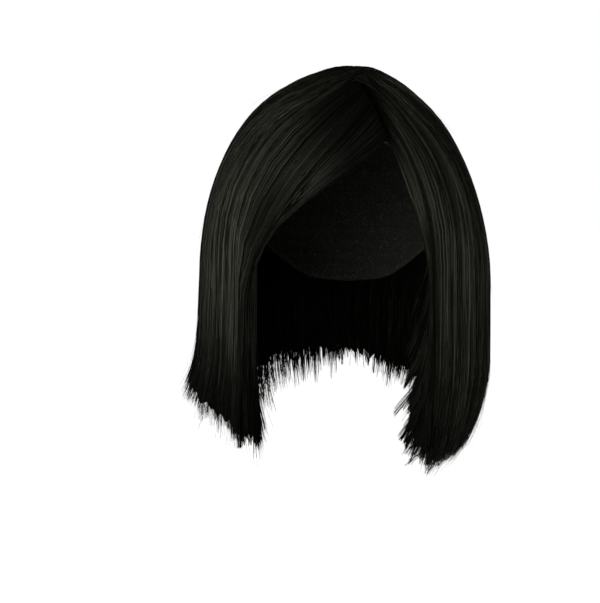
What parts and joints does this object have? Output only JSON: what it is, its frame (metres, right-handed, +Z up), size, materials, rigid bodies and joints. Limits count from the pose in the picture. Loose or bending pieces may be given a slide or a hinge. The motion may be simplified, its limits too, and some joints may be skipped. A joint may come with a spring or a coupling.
{
  "type": "straight bob hair wig",
  "caption": "Straight side-parted bob wig: swept fringe, side, back and nape panels of dark hair in locks over a thin cap that is open below for a head.",
  "frame": {"origin": "inside of the cap at the crown, where the top of a head sits", "axes": "+Z up out of the crown, -Y the way the wearer faces, +X towards the wearer's left; a head leaves downwards along -Z"},
  "size_m": [0.2163, 0.2165, 0.2722],
  "materials": {
    "hair": "straight black hair with a soft gloss along the strands",
    "cap": "dark fine net"
  },
  "bodies": {
    "root": {"cap": "cap", "fringe": "hair", "right_side": "hair", "right_back": "hair", "left_front": "hair", "left_side": "hair", "left_back": "hair", "nape": "hair"}
  },
  "joints": []
}
